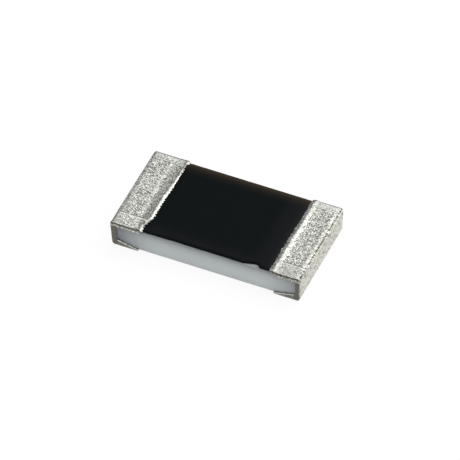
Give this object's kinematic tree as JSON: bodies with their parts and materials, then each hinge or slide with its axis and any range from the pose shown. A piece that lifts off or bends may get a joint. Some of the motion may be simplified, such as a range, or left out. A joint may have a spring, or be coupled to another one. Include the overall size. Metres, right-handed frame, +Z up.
{
  "type": "chip resistor",
  "caption": "Surface-mount chip resistor: a white ceramic block with a black protective coat on top and grainy tinned terminals wrapped round both ends.",
  "frame": {"origin": "middle of the underside, in the plane of the two solder lands", "axes": "+X along the length from the left terminal to the right one, +Y to the back, +Z up through the black coat"},
  "size_m": [0.0032, 0.0016, 0.0005],
  "materials": {
    "ceramic": "matte white alumina",
    "silver_print": "fired silver print",
    "resistive_print": "fired dark glassy print",
    "glass_coat": "thin fired glaze",
    "black_coat": "smooth matte black",
    "wrap_metal": "dull metal-filled coat",
    "nickel": "satin plating",
    "tin": "matte, grainy plating"
  },
  "bodies": {
    "root": {"ceramic_substrate": "ceramic", "bottom_electrode_left": "silver_print", "bottom_electrode_right": "silver_print", "top_electrode_left": "silver_print", "top_electrode_right": "silver_print", "resistive_film": "resistive_print", "glass_coat": "glass_coat", "black_overcoat": "black_coat", "end_termination_left": "wrap_metal", "end_termination_right": "wrap_metal", "nickel_barrier_left": "nickel", "nickel_barrier_right": "nickel", "tin_plating_left": "tin", "tin_plating_right": "tin"}
  },
  "joints": []
}
